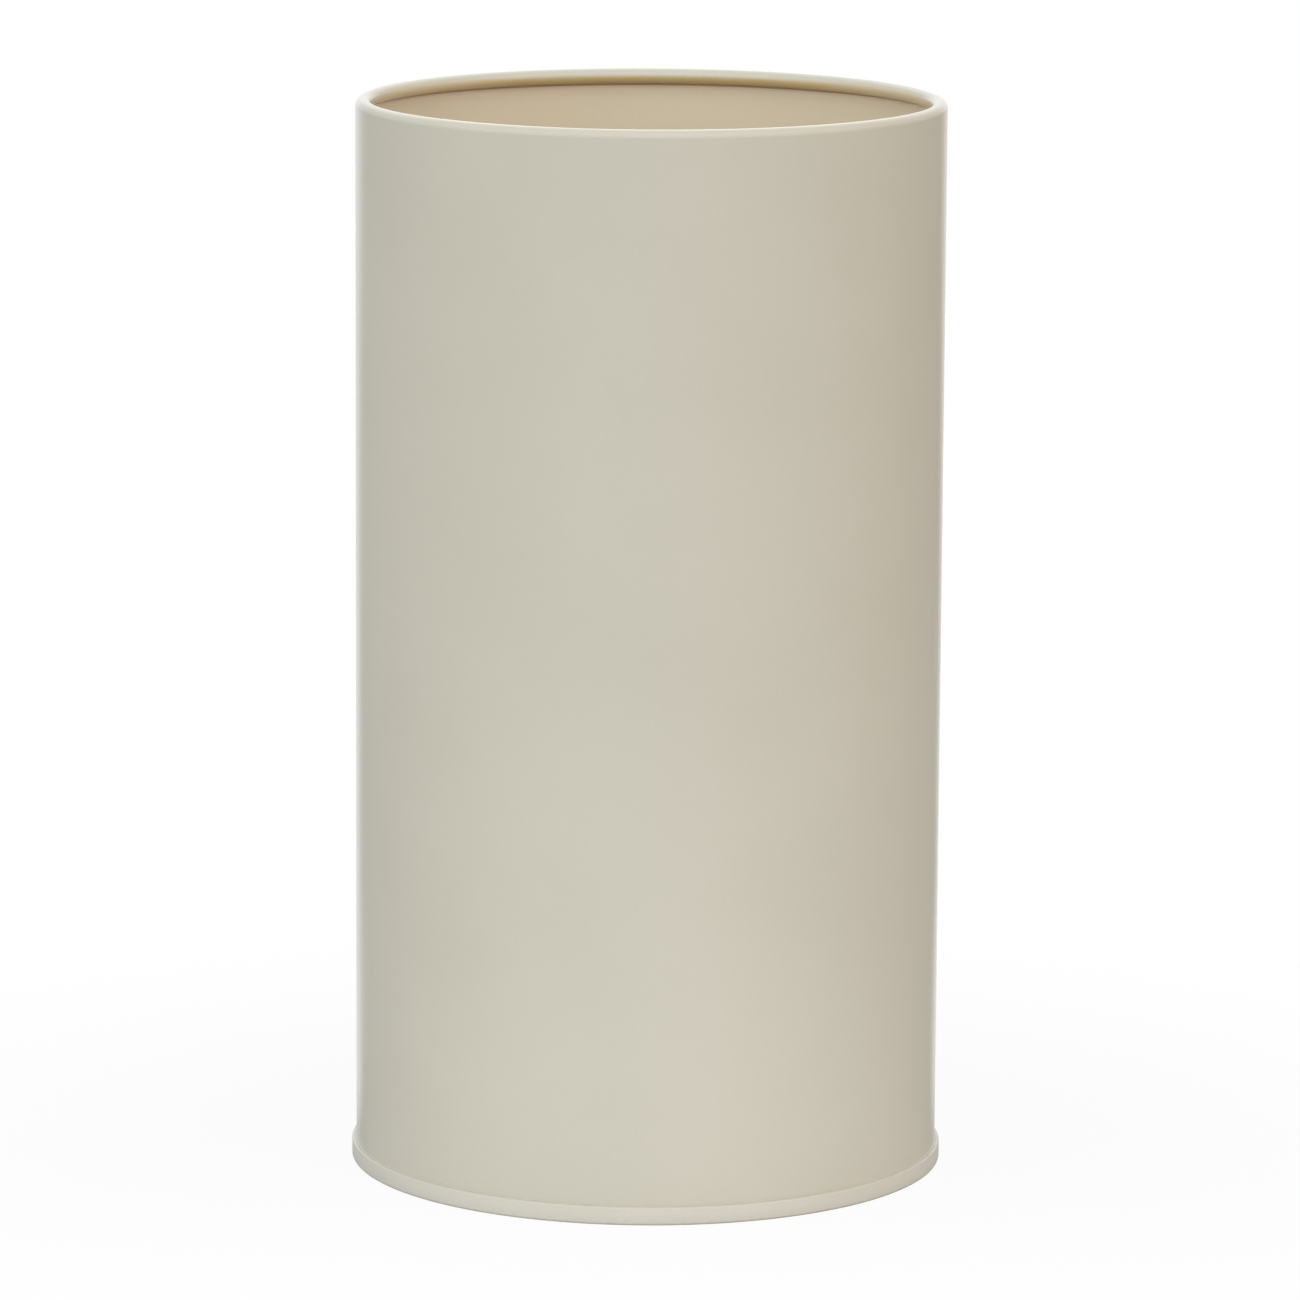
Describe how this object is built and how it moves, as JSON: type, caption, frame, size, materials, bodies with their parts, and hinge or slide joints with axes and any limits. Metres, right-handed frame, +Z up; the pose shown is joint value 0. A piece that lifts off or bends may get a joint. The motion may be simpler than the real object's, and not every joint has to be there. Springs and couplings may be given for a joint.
{
  "type": "storage tin",
  "caption": "Tall open cylindrical storage tin in cream lacquer, with an inward-curled rim, a grooved side seam and a double-seamed pressed base.",
  "frame": {"origin": "centre of the tin's footprint, on the plane that its base seam stands on", "axes": "+Z up along the tin's axis, -Y towards the viewer of the picture, +X to the viewer's right"},
  "size_m": [0.1004, 0.1004, 0.1812],
  "materials": {
    "body_lacquer": "satin cream lacquer on tinplate",
    "base_lacquer": "satin cream lacquer on tinplate",
    "sealant": "matte lining compound"
  },
  "bodies": {
    "root": {"body_shell": "body_lacquer", "base_end": "base_lacquer", "seam_sealant": "sealant"}
  },
  "joints": []
}
